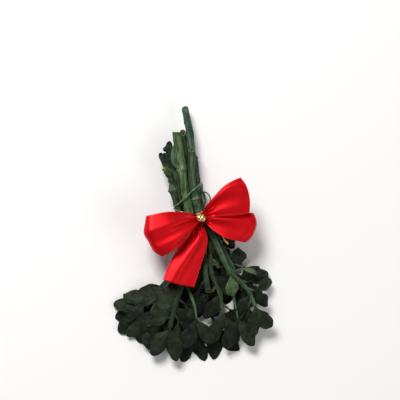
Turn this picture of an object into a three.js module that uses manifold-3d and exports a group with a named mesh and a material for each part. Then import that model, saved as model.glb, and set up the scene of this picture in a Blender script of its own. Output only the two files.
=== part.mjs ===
// A small mistletoe bunch lying on its back: nine cut sprigs held by a green binding wire,
// their leathery leaves, and a red satin bow tied on with gold wire and two gold beads.
// Millimetres, +Z up. The cut ends point to +Y, the foliage to -Y and the bow faces +Z.
// While it is being built, the bow's knot stands over x = 0, y = 0; the last lines then move
// the group so that the middle of its base is at the origin.

import * as THREE from "three";
import * as BufferGeometryUtils from "three/addons/utils/BufferGeometryUtils.js";
import Module from "manifold-3d";

const wasm = await Module();
wasm.setup();

// ---- driving dimensions ----

const GAP = 0.3; // free space kept between two neighbouring pieces
const STEM_SIDES = 8;
const STEPS_PER_SPAN = 2; // sections between two points of a stem's route
const TIP_SHARE = 0.55; // radius of a sprig's far end, as a share of its cut end's
const TAPER_START = 0.45; // share of the route that keeps the cut end's radius
const JOINT_SWELL = 0.35; // how far a fork's joint stands out of the stem, against the twig's radius
const JOINT_RINGS = 6;

const LEAF_THICKNESS = 0.7;
const LEAF_STEPS = 6; // sections along a blade
const LEAF_COLUMNS = 3; // strips across a blade
const LEAF_FULLNESS = 1.3; // above 1 the blade is widest beyond its middle
const LEAF_ROUNDNESS = 0.8; // below 1 the blade's outline is blunter than a sine
const PETIOLE_SHARE = 0.12; // width of a blade's narrow foot against its full width
const LEAF_CUP = 0.22; // how far the margins hang, against half the width
const MARGIN_THINNING = 0.5; // share of the blade's thickness that is lost at its margins

const RIBBON_THICKNESS = 0.7;
const RIBBON_COLUMNS = 6;
const KNOT_HEIGHT = 19.9; // middle of the gathered ribbon, over the floor
const KNOT_HALF = [2.9, 3.3, 2.3];
const KNOT_SIDES = 12;
const KNOT_RINGS = 8;

const BEAD_RADIUS = 2.2;
const BEAD_HALF_WIDTH = 1.25;
const BEAD_SIDES = 14;
const BEAD_STEPS = 8; // sections from one rim of the bore to the other
const BEAD_OFFSET = BEAD_HALF_WIDTH + GAP / 2;
const BEAD_HEIGHT = 24.8;
const TIE_RADIUS = 0.32;
const BORE_RADIUS = TIE_RADIUS + GAP;
const BINDING_RADIUS = 0.42;
const WIRE_SIDES = 6;

// ---- colours and finishes ----

const LOOKS = {
  bark: { color: 0x41563a, roughness: 0.75, metalness: 0 },
  foliage: { color: 0x35482f, roughness: 0.6, metalness: 0 },
  satin: { color: 0xc4101c, roughness: 0.4, metalness: 0 },
  gold: { color: 0xd9b060, roughness: 0.2, metalness: 1 },
  enamel: { color: 0x2e3b26, roughness: 0.35, metalness: 0.2 },
};

function finish(look) {
  return new THREE.MeshStandardMaterial(LOOKS[look]);
}

// ---- the sprigs ----
// route: points of the stem from its cut end, over the knot at y = 0, to its far tip.
// tipShare: a sprig that is broken off short keeps more of its width than TIP_SHARE.
// A leaf or twig grows at a point of the route, counted from 0; 8.5 is halfway from 8 to 9.
// leaf: [at, heading, pitch, roll, length, width, curl]; heading 0 points along -Y and turns
// towards +X, pitch lifts the blade's start, curl is its whole bend towards its underside.

const SPRIGS = [
  {
    name: "long",
    radius: 2.0,
    route: [
      [-6.1, 64.4, 8.6], [-4.9, 57, 9.6], [-3.4, 49, 10.4], [-2.3, 39, 10.9], [-1.1, 28, 11],
      [0.6, 18, 11], [2.6, 9, 10.9], [5.5, 0, 10.4], [11.8, -9, 9.2], [17.4, -19, 8],
      [23.4, -30, 7], [28.5, -42, 6],
    ],
    leaves: [
      [9.3, 88, 18, -8, 12.5, 10, 65], [10, 14, 2, 8, 14, 8.5, 40], [10, -12, -12, 0, 17, 8, 10],
      [11, 46, 6, 0, 13, 8, 50], [11, 4, 4, -10, 19, 9, 30], [8.2, 92, 4, -4, 14, 9.4, 30],
    ],
    twigs: [
      { at: 5, radius: 0.75, route: [[3.4, 15.2, 13.2], [4.9, 10.7, 14.4], [4.3, 5.5, 15.4]], leaves: [] },
      {
        at: 9.5,
        radius: 1.0,
        route: [[24, -26.5, 6], [29, -28.5, 7.6]],
        leaves: [[2, 58, 6, 10, 14, 9.5, 45], [2, 16, -4, 0, 15, 8.5, 30]],
      },
    ],
  },
  {
    name: "thick",
    radius: 2.6,
    route: [
      [-11.4, 49.5, 12], [-10.1, 40.5, 12.3], [-8.4, 28.8, 12.5], [-6.7, 16, 12.3],
      [-5, 7.4, 12.7], [-4.2, 0, 12.6], [-3.6, -10, 12], [-4.6, -22, 11], [-7.5, -36, 10.6],
      [-12, -50, 10.6], [-15, -63, 10.4],
    ],
    leaves: [
      [8.3, -56, 8, 6, 19, 12, 30], [9, -58, 8, -6, 19, 10, 35], [9, 36, -6, 10, 15, 8, 20],
      [10, -34, 6, 8, 19, 10, 30], [10, 14, 8, -8, 20, 9, 35],
    ],
    twigs: [
      {
        at: 2,
        radius: 1.6,
        route: [[-12.3, 30.6, 13.2], [-13.6, 35, 13], [-12.6, 41.8, 12.8]],
        leaves: [],
      },
      {
        at: 8,
        radius: 1.0,
        route: [[-4.6, -41, 11.8], [-2, -48, 12.6], [0, -58, 13.4]],
        leaves: [[3, -22, 10, 0, 19, 9, 45], [3, 34, 6, 5, 18, 8, 40]],
      },
    ],
  },
  {
    name: "broken",
    radius: 2.0,
    tipShare: 0.85,
    route: [
      [-7.1, 50.8, 7.7], [-5.7, 38.8, 7.8], [-3.8, 27.4, 7.7], [-1.9, 14.8, 7.9], [0.2, 0, 7.8],
      [1.6, -9, 8.8], [4.4, -21.1, 10.5], [5.7, -32.5, 12], [7.2, -42.7, 12.5],
    ],
    leaves: [[6.6, -24, -16, 0, 17, 8, 10]],
    twigs: [],
  },
  {
    name: "front",
    radius: 2.1,
    route: [
      [-3.3, 39.6, 15.5], [-3.1, 28.5, 15.4], [-2.5, 16, 15.5], [-0.9, 11.1, 14.9],
      [1, 4, 14.3], [4.2, -2.3, 14], [7.1, -7.3, 13.8], [13.7, -19.4, 13.4], [20.2, -31.3, 13],
      [26.8, -37.6, 12.6], [32, -43.5, 12.4], [35, -51, 12],
    ],
    leaves: [
      [8, 2, 24, 6, 14, 7.6, 60], [8, 107, 6, -78, 17.5, 5.5, 112], [10, -24, 4, 0, 15, 8, 30],
      [11, 34, 12, 8, 16, 9, 45], [11, -6, 8, -6, 19, 9, 40],
    ],
    twigs: [
      {
        at: 8,
        radius: 1.0,
        route: [[21.4, -38, 11], [23, -48, 10.6], [25, -58, 10.4]],
        leaves: [[3, -20, 8, 0, 19, 9, 35], [3, 32, 4, 0, 19, 9, 30]],
      },
    ],
  },
  {
    name: "slim",
    radius: 1.9,
    route: [
      [0.3, 39.6, 4.4], [1.1, 30, 4.4], [2.6, 14, 4.8], [4.6, 0, 6.2], [8.2, -8.9, 7],
      [9, -16.8, 7.6], [9.6, -31.9, 8.8], [14.8, -43.5, 9], [17, -55, 8.4],
    ],
    leaves: [
      [6, 42, -6, 0, 17, 11, 15], [5.35, 20, 14, 50, 9, 3.4, 40], [7, -30, 2, 0, 17, 9, 25],
      [8, 26, 0, 6, 20, 9, 25], [8, -22, 4, -6, 19, 9, 30],
    ],
    twigs: [],
  },
  {
    name: "left",
    radius: 1.8,
    route: [
      [-21.2, 37.2, 12.6], [-17.4, 29.5, 12.5], [-15.4, 22.8, 12.3], [-13.6, 16, 12.2],
      [-11.2, 8.5, 12], [-9, 0, 11.8], [-8.6, -10, 10.6], [-9, -22, 9.6], [-12.6, -33, 8.6],
      [-20.5, -44, 8], [-26, -56, 7.4],
    ],
    leaves: [
      [8.6, -62, 4, 0, 17, 9, 30], [9, -76, 6, 0, 17, 9, 30], [9, 18, -6, 0, 15, 8, 10],
      [10, -46, 6, 0, 18, 9, 35], [10, 2, 4, 0, 20, 9, 30],
    ],
    twigs: [
      { at: 1.3, radius: 1.4, route: [[-17.4, 28, 13.4], [-19.8, 27.6, 14]], leaves: [] },
      {
        at: 1.3,
        radius: 1.3,
        route: [
          [-14.4, 26.8, 13.4], [-12.4, 24.5, 13.8], [-11.5, 20, 14], [-10.3, 14, 14], [-9, 7.5, 14],
        ],
        leaves: [],
      },
    ],
  },
  {
    name: "notched",
    radius: 2.0,
    route: [
      [-15.2, 44.1, 9.5], [-14.9, 37.6, 9.2], [-12.8, 29.6, 8.2], [-9.9, 21, 7.9],
      [-8.8, 14, 7.9], [-7.4, 7.4, 7.6], [-6.9, 0, 7.5], [-8, -10, 6.6], [-8.8, -22, 5.6],
      [-13.4, -34, 4.6], [-23.5, -44, 3.9], [-31, -54, 3.4],
    ],
    leaves: [
      [10, -80, 0, 0, 15, 9, 20], [10, 12, -4, 0, 14, 8, 10], [11, -44, 0, 0, 17, 9, 20],
      [11, 8, 0, 0, 19, 9, 20],
    ],
    twigs: [{ at: 0.7, radius: 2.3, route: [[-16.2, 39.6, 9.6], [-18.3, 39, 10]], leaves: [] }],
  },
  {
    name: "back_left",
    radius: 1.9,
    route: [
      [-15.6, 37.8, 1.9], [-12.6, 30, 2.6], [-6.6, 14, 3.6], [-4.4, 0, 3.6], [-5, -14, 3.4],
      [-5.8, -30, 3], [-9.5, -46, 2.6], [-15, -60, 2.2],
    ],
    leaves: [[6, 40, 0, 0, 16, 9, 15], [7, -34, 0, 0, 19, 10, 20], [7, 14, 2, 0, 20, 9, 20]],
    twigs: [],
  },
  {
    name: "back_middle",
    radius: 1.75,
    route: [
      [-5.5, 47, 1.75], [-4, 30, 2.8], [-1.9, 14, 3.8], [0.2, 0, 3.7], [0.6, -16, 3.4],
      [0.6, -36, 3], [0, -52, 2.6], [-1, -66, 2.2],
    ],
    leaves: [[7, -14, 0, 0, 18, 9, 20], [7, 30, 2, 0, 19, 9, 20]],
    twigs: [
      {
        at: 5,
        radius: 1.1,
        route: [[5.4, -46, 2.6], [11, -56, 2.4], [14.6, -64, 2]],
        leaves: [[3, -4, 0, 0, 18, 9, 15], [3, 46, 0, 0, 19, 9, 20]],
      },
    ],
  },
];

// ---- the ribbon ----
// One satin ribbon, folded front to back: tail_right, loop_left, loop_right, tail_low.
// Each run is a sheet between two edges; a loop's edges go out, turn over and come back.
// bulge lifts the middle of the sheet, at the run's start and end; reach is how far the middle
// of its outer end stands out past the edges' ends.

const RIBBON_RUNS = [
  {
    upper: [[1.4, 2.4, 21.4], [6.2, 10.1, 24.6], [12.9, 18.1, 27], [18.2, 21.4, 27.6], [22.4, 23.1, 27.4]],
    lower: [[1.4, 0.4, 21.6], [7, 0.9, 24.6], [13, 1.2, 26.8], [20.6, 1.6, 28.4], [27.4, 2.8, 28.6]],
    pleat: 0.9,
    bulge: [0, 1.2],
    reach: 2.4,
    loop: false,
  },
  {
    upper: [
      [-1.2, 1.6, 21.4], [-9, 3.2, 25.2], [-20, 3.6, 27.4], [-29.5, 1.8, 26.4], [-31.5, 1.2, 23.6],
      [-29.5, 1.4, 21], [-19, 2.8, 20.2], [-9, 2.4, 19.8], [-1.2, 1.2, 19.6],
    ],
    lower: [
      [-1.2, -1.6, 21.4], [-7, -9, 25.4], [-14.6, -16.8, 27.4], [-21, -20.8, 26.4],
      [-22.6, -21.6, 23.6], [-21, -20.6, 21], [-14, -16.4, 20.2], [-7, -8.6, 19.8],
      [-1.2, -1.4, 19.6],
    ],
    pleat: 0.9,
    bulge: [1.2, 0.6],
    reach: 3,
    loop: true,
  },
  {
    upper: [
      [1.2, 0.8, 20.8], [9.5, 1.5, 23], [20.5, 2.4, 24.4], [29.6, 2.9, 23.6], [31.5, 2.5, 21.4],
      [29.4, 2.7, 19.4], [20, 2.2, 18.8], [9.5, 1.2, 18.6], [1.2, 0.6, 19],
    ],
    lower: [
      [1.2, -2.2, 20.8], [6.2, -6, 22.8], [14, -10.6, 25], [22.4, -13.4, 25.6],
      [26.9, -13.8, 23.4], [25.4, -13.2, 20.6], [19, -11.4, 19.2], [10, -7.6, 18.8],
      [1.2, -2, 19],
    ],
    pleat: 0.8,
    bulge: [1.6, 0.4],
    reach: 2.4,
    loop: true,
  },
  {
    upper: [
      [-1.2, -1.6, 19.2], [-6.4, -9.4, 18.4], [-11.8, -16.6, 18.9], [-17.4, -26, 19.6],
      [-21.2, -35, 19.4],
    ],
    lower: [
      [1.4, -1.6, 19.4], [4.8, -10.3, 19], [4.6, -16.5, 19.2], [1.8, -25.3, 19.2],
      [-2.6, -39.6, 18.6],
    ],
    pleat: 0.8,
    bulge: [0, 1.8],
    reach: 0.6,
    loop: false,
  },
];
const PLEAT_WAVES = 1.5; // folds across the ribbon where it is gathered
const RUN_STEPS = { loop: 14, tail: 7 };

// ---- the wires' routes ----

const BINDING_ROUTE = [
  [-8.4, 3.2, 16.4], [-10.8, 4, 15.2], [-12.9, 4.8, 12.2], [-12.3, 5.2, 8.4], [-9.4, 6.2, 3.6],
  [-6, 7, 0.9], [-1.2, 8.6, 0.7], [3.4, 11, 1.6], [5.2, 15, 4.6], [4.4, 18.2, 8.8],
  [3.6, 20, 12], [1.6, 19.4, 15.8], [-2.3, 16.6, 18.5], [-5.6, 13.6, 17.3],
  [-8.6, 10.6, 16.4], [-11.6, 7.6, 15.1], [-13.6, 6.8, 12], [-12.6, 7.6, 8.4], [-9.8, 8.8, 3.5],
  [-6.4, 10, 0.8], [-1.3, 11.6, 0.7], [3.4, 13.4, 1.5], [6.4, 14.6, 5], [5.9, 14.8, 9.5],
  [6, 14.6, 12.4], [7.4, 13, 13.4], [8.2, 10.4, 13.2], [7.4, 8, 12.6], [6.2, 6.6, 12.4],
];
const BINDING_STEPS = 80;
const TIE_ROUTE = [
  [18.2, -14.8, 16.2], [15.4, -11.6, 16.9], [9.6, -5.6, 17], [6.8, -3.4, 16.8], [8.4, -1.6, 14],
  [9, -0.6, 9], [7.6, 0, 4], [3.5, 0.5, 1], [-2, 0.8, 0.8], [-7, 1, 1.4], [-11, 1, 6],
  [-12.2, 0.8, 11.5], [-10.2, 0.6, 15.1], [-5, 1.2, 16.8], [-0.4, 3, 16.9], [1, 4.2, 19.4],
  [0, 3.9, 22.4], [-2.4, 2.4, 23.8], [-2.95, 0.5, 24.7], [-1.4, 0, BEAD_HEIGHT],
  [1.4, 0, BEAD_HEIGHT], [2.95, -0.3, 24.7], [3.2, -1.9, 23.6], [2.6, -3.8, 21.8],
  [2.8, -4.6, 19.4], [4.8, -5.2, 18],
];
const TIE_STEPS = 76;

// ---- helpers ----

const FLOOR = 0;
const MERGE_DISTANCE = 1e-4;
const UP = new THREE.Vector3(0, 0, 1);

function smoothRoute(points) {
  const places = points.map((p) => new THREE.Vector3(...p));
  return new THREE.CatmullRomCurve3(places, false, "catmullrom", 0.5);
}

// Moves every vertex of a geometry to place(vertex).
function reshape(geometry, place) {
  const positions = geometry.getAttribute("position");
  const vertex = new THREE.Vector3();
  for (let i = 0; i < positions.count; i += 1) {
    vertex.fromBufferAttribute(positions, i);
    const moved = place(vertex);
    positions.setXYZ(i, moved.x, moved.y, moved.z);
  }
  return geometry;
}

function solid(geometry) {
  geometry.deleteAttribute("normal");
  geometry.deleteAttribute("uv");
  const merged = BufferGeometryUtils.mergeVertices(geometry, MERGE_DISTANCE);
  const mesh = new wasm.Mesh({
    numProp: 3,
    vertProperties: new Float32Array(merged.getAttribute("position").array),
    triVerts: new Uint32Array(merged.getIndex().array),
  });
  return new wasm.Manifold(mesh);
}

function geometryOf(manifold) {
  const mesh = manifold.getMesh();
  const geometry = new THREE.BufferGeometry();
  geometry.setAttribute("position", new THREE.BufferAttribute(mesh.vertProperties, 3));
  geometry.setIndex(new THREE.BufferAttribute(mesh.triVerts, 1));
  geometry.computeVertexNormals();
  return geometry;
}

function largestPiece(manifold) {
  const pieces = manifold.decompose();
  return pieces.reduce((best, piece) => (piece.volume() > best.volume() ? piece : best));
}

function boxesMeet(a, b) {
  const first = a.boundingBox();
  const second = b.boundingBox();
  return [0, 1, 2].every((k) => first.min[k] < second.max[k] && second.min[k] < first.max[k]);
}

// What is left of a piece once the space round its neighbours is cut away.
function clearOf(piece, neighbours) {
  let left = piece;
  for (const neighbour of neighbours) {
    if (boxesMeet(left, neighbour)) {
      left = largestPiece(left.subtract(neighbour));
    }
  }
  return left;
}

// ---- stems ----

function taper(startRadius, endRadius, t) {
  return THREE.MathUtils.lerp(startRadius, endRadius, Math.max(0, t - TAPER_START) / (1 - TAPER_START));
}

function stemTube(curve, spans, startRadius, endRadius) {
  const tube = new THREE.CylinderGeometry(1, 1, 1, STEM_SIDES, spans * STEPS_PER_SPAN);
  return reshape(tube, (v) => {
    const t = v.y + 0.5;
    const along = curve.getTangent(t);
    const side = new THREE.Vector3().crossVectors(along, UP).normalize();
    const over = new THREE.Vector3().crossVectors(side, along);
    const radius = taper(startRadius, endRadius, t);
    return curve.getPoint(t).addScaledVector(side, v.x * radius).addScaledVector(over, v.z * radius);
  });
}

function tipRadius({ radius, tipShare = TIP_SHARE }) {
  return radius * tipShare;
}

function stemRadius(sprig, at) {
  return taper(sprig.radius, tipRadius(sprig), at / (sprig.route.length - 1));
}

function routePoint(route, at) {
  return smoothRoute(route).getPoint(at / (route.length - 1));
}

function twigRoute(sprig, twig) {
  const start = routePoint(sprig.route, twig.at);
  return [[start.x, start.y, start.z], ...twig.route];
}

function jointSolid(sprig, twig, growth) {
  const middle = routePoint(sprig.route, twig.at);
  const radius = stemRadius(sprig, twig.at) + twig.radius * JOINT_SWELL + growth;
  const joint = new THREE.SphereGeometry(radius, STEM_SIDES, JOINT_RINGS);
  joint.translate(middle.x, middle.y, middle.z);
  return solid(joint);
}

function sprigSolid(sprig, growth) {
  const spans = sprig.route.length - 1;
  const tip = tipRadius(sprig) + growth;
  let stem = solid(stemTube(smoothRoute(sprig.route), spans, sprig.radius + growth, tip));
  for (const twig of sprig.twigs) {
    const route = twigRoute(sprig, twig);
    const end = tipRadius(twig) + growth;
    const branch = stemTube(smoothRoute(route), route.length - 1, twig.radius + growth, end);
    stem = stem.add(solid(branch)).add(jointSolid(sprig, twig, growth));
  }
  return stem;
}

// ---- leaves ----

function leafFrame(heading, pitch, roll) {
  const h = THREE.MathUtils.degToRad(heading);
  const p = THREE.MathUtils.degToRad(pitch);
  const r = THREE.MathUtils.degToRad(roll);
  const level = new THREE.Vector3(Math.cos(h), Math.sin(h), 0);
  const along = new THREE.Vector3(
    Math.sin(h) * Math.cos(p),
    -Math.cos(h) * Math.cos(p),
    Math.sin(p),
  );
  const steep = new THREE.Vector3().crossVectors(along, level);
  const across = level.clone().multiplyScalar(Math.cos(r)).addScaledVector(steep, Math.sin(r));
  const normal = steep.clone().multiplyScalar(Math.cos(r)).addScaledVector(level, -Math.sin(r));
  return { along, across, normal };
}

function bladeShare(s) {
  const oval = Math.sin(Math.PI * s ** LEAF_FULLNESS) ** LEAF_ROUNDNESS;
  return Math.max(oval, PETIOLE_SHARE);
}

function leafSolid(foot, leaf, growth) {
  const [, heading, pitch, roll, length, width, curl] = leaf;
  const { along, across, normal } = leafFrame(heading, pitch, roll);
  const bend = THREE.MathUtils.degToRad(curl);
  const slab = new THREE.BoxGeometry(2, 1, 2, LEAF_COLUMNS, LEAF_STEPS, 1);
  reshape(slab, (v) => {
    const s = v.y + 0.5;
    const q = v.x;
    const turned = bend * s;
    const half = (width / 2) * bladeShare(s) + growth;
    const face = normal.clone().multiplyScalar(Math.cos(turned)).addScaledVector(along, Math.sin(turned));
    const lift = v.z * ((LEAF_THICKNESS / 2) * (1 - MARGIN_THINNING * q * q) + growth);
    const droop = -LEAF_CUP * half * q * q;
    const point = foot.clone();
    point.addScaledVector(along, (length * Math.sin(turned)) / bend);
    point.addScaledVector(normal, (-length * (1 - Math.cos(turned))) / bend);
    point.addScaledVector(across, -q * half);
    point.addScaledVector(face, lift + droop);
    const lowest = v.z > 0 ? FLOOR + LEAF_THICKNESS : FLOOR;
    point.z = Math.max(point.z, lowest - growth);
    return point;
  });
  return solid(slab);
}

function leafList() {
  const list = [];
  for (const sprig of SPRIGS) {
    let count = 0;
    const carriers = [{ route: sprig.route, leaves: sprig.leaves }];
    for (const twig of sprig.twigs) {
      carriers.push({ route: twigRoute(sprig, twig), leaves: twig.leaves });
    }
    for (const carrier of carriers) {
      for (const leaf of carrier.leaves) {
        count += 1;
        list.push({ name: `leaf_${sprig.name}_${count}`, foot: routePoint(carrier.route, leaf[0]), leaf });
      }
    }
  }
  return list;
}

// ---- ribbon ----

function ribbonRun(run) {
  const upper = smoothRoute(run.upper);
  const lower = smoothRoute(run.lower);
  const far = run.loop ? 0.5 : 1;
  const outward = upper.getPoint(far).add(lower.getPoint(far)).setZ(0).normalize();
  const steps = run.loop ? RUN_STEPS.loop : RUN_STEPS.tail;
  const slab = new THREE.BoxGeometry(2, 1, 2, RIBBON_COLUMNS, steps, 1);
  reshape(slab, (v) => {
    const s = v.y + 0.5;
    const share = (1 + v.x) / 2;
    const edge = upper.getPoint(s);
    const across = lower.getPoint(s).sub(edge);
    const along = upper.getTangent(s).lerp(lower.getTangent(s), share);
    const normal = new THREE.Vector3().crossVectors(across, along).normalize();
    const out = run.loop ? Math.sin(Math.PI * s) : s;
    const wave = Math.cos(Math.PI * PLEAT_WAVES * (v.x + 1));
    const pleat = run.pleat * wave * Math.sqrt(Math.sin(Math.PI * out));
    const bulge = THREE.MathUtils.lerp(run.bulge[0], run.bulge[1], s) * out * (1 - v.x * v.x);
    const offset = pleat + bulge + (v.z * RIBBON_THICKNESS) / 2;
    edge.addScaledVector(outward, run.reach * out * out * (1 - v.x * v.x));
    return edge.addScaledVector(across, share).addScaledVector(normal, offset);
  });
  return solid(slab);
}

function knotSolid() {
  const lump = new THREE.SphereGeometry(1, KNOT_SIDES, KNOT_RINGS);
  lump.scale(...KNOT_HALF);
  lump.translate(0, 0, KNOT_HEIGHT);
  return solid(lump);
}

function ribbonSolid(neighbours) {
  let bow = knotSolid();
  for (const run of RIBBON_RUNS) {
    bow = bow.add(ribbonRun(run));
  }
  return clearOf(bow, neighbours);
}

// ---- beads and wires ----

function beadSolid(side, growth) {
  const profile = [];
  const start = Math.asin((BORE_RADIUS - growth) / (BEAD_RADIUS + growth));
  for (let i = 0; i <= BEAD_STEPS; i += 1) {
    const angle = THREE.MathUtils.lerp(start, Math.PI - start, i / BEAD_STEPS);
    const out = (BEAD_RADIUS + growth) * Math.sin(angle);
    profile.push(new THREE.Vector2(out, -(BEAD_HALF_WIDTH + growth) * Math.cos(angle)));
  }
  profile.push(profile[0].clone());
  const bead = new THREE.LatheGeometry(profile, BEAD_SIDES);
  bead.rotateZ(Math.PI / 2);
  bead.translate(side * BEAD_OFFSET, 0, BEAD_HEIGHT);
  return solid(bead);
}

function wireSolid(route, radius, steps) {
  const section = new THREE.Shape();
  for (let i = 0; i < WIRE_SIDES; i += 1) {
    const angle = (2 * Math.PI * i) / WIRE_SIDES;
    const corner = [radius * Math.cos(angle), radius * Math.sin(angle)];
    if (i === 0) {
      section.moveTo(...corner);
    } else {
      section.lineTo(...corner);
    }
  }
  section.closePath();
  return solid(new THREE.ExtrudeGeometry(section, { steps, extrudePath: smoothRoute(route) }));
}

// ---- assembly ----

const group = new THREE.Group();

function addPiece(name, manifold, look) {
  const mesh = new THREE.Mesh(geometryOf(manifold), finish(look));
  mesh.name = name;
  group.add(mesh);
}

for (const sprig of SPRIGS) {
  addPiece(`stem_${sprig.name}`, sprigSolid(sprig, 0), "bark");
}

const taken = SPRIGS.map((sprig) => sprigSolid(sprig, GAP));
for (const { name, foot, leaf } of leafList()) {
  addPiece(name, clearOf(leafSolid(foot, leaf, 0), taken), "foliage");
  taken.push(leafSolid(foot, leaf, GAP));
}

const wideTie = wireSolid(TIE_ROUTE, TIE_RADIUS + GAP, TIE_STEPS);
addPiece("binding_wire", wireSolid(BINDING_ROUTE, BINDING_RADIUS, BINDING_STEPS), "enamel");
addPiece("tie_wire", wireSolid(TIE_ROUTE, TIE_RADIUS, TIE_STEPS), "gold");
addPiece("bead_left", beadSolid(-1, 0), "gold");
addPiece("bead_right", beadSolid(1, 0), "gold");
addPiece("ribbon_bow", ribbonSolid([wideTie, beadSolid(-1, GAP), beadSolid(1, GAP)]), "satin");

const bounds = new THREE.Box3().setFromObject(group);
const middle = bounds.getCenter(new THREE.Vector3());
group.position.set(-middle.x, -middle.y, -bounds.min.z);

export default group;
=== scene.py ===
"""A small mistletoe bunch lying on its back, tied with a red satin bow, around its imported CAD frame.

Lengths in the tables are millimetres from the bow's knot, as in the part's source; everything
that is built from them is scaled and moved into the frame by place().
"""

import math
import random
from collections import namedtuple
from types import SimpleNamespace

import bpy
import numpy as np
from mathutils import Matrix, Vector, noise


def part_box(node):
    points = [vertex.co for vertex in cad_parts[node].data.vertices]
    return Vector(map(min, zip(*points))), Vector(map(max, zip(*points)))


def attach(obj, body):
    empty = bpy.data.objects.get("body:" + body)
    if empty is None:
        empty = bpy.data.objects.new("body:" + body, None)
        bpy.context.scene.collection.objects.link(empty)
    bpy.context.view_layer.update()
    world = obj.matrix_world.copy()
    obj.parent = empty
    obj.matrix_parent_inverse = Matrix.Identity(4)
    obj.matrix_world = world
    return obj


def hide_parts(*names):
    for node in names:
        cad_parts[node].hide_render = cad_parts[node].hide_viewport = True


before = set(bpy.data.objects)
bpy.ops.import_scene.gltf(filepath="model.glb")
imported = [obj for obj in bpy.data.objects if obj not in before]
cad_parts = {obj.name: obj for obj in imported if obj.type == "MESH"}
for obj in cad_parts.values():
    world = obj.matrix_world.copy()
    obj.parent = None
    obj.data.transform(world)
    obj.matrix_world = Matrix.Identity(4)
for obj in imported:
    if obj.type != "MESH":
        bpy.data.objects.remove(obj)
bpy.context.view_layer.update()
scene = bpy.context.scene

MM = 0.001
BODY = "root"

# ---- the knot's place, from the left bead's box ----

BEAD_OFFSET = 1.4  # middle of a bead's solid, to either side of the knot
BEAD_HEIGHT = 24.8
bead_low, bead_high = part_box("bead_left")
BEAD_MIDDLE = (np.array(bead_low) + np.array(bead_high)) / 2
KNOT = BEAD_MIDDLE - MM * np.array([-BEAD_OFFSET, 0, BEAD_HEIGHT])


def place(points):
    """Millimetres from the knot to metres in the frame."""
    return KNOT + MM * np.asarray(points, float)


def add_object(name, data):
    made = bpy.data.objects.new(name, data)
    scene.collection.objects.link(made)
    return made


# ---- camera ----

VIEW_TURN = math.radians(13)  # the bunch is seen from a little to its left
CAMERA_DISTANCE = 1.9
VIEW_WIDTH = 0.228  # width of the view at the bow
VIEW_SHIFT = (-0.57, 10.3)  # the view's middle against the bow's knot, in mm
SENSOR = 36.0
CLIP_END = 10


def make_camera():
    data = bpy.data.cameras.new("camera")
    data.sensor_width = SENSOR
    data.lens = SENSOR * CAMERA_DISTANCE / VIEW_WIDTH
    data.clip_end = CLIP_END
    camera = add_object("camera", data)
    back = Vector((-math.sin(VIEW_TURN), 0, math.cos(VIEW_TURN)))
    right = Vector((math.cos(VIEW_TURN), 0, math.sin(VIEW_TURN)))
    up = Vector((0, 1, 0))
    target = Vector(place([0, 0, BEAD_HEIGHT])) + MM * (right * VIEW_SHIFT[0] + up * VIEW_SHIFT[1])
    camera.location = target + back * CAMERA_DISTANCE
    camera.rotation_euler = (0, -VIEW_TURN, 0)
    scene.camera = camera


make_camera()

# ---- the sprigs, as in the part's source ----
# route: points along the stem's middle, from its cut end to its far end.
# leaf: (point of the route where it sits, heading, pitch, roll, length, width, curl). Angles are
# degrees; a heading of 0 points away from the cut ends and one of 90 along +X.
# twig: (point of the route where it starts, radius, its own route, its leaves)

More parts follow.
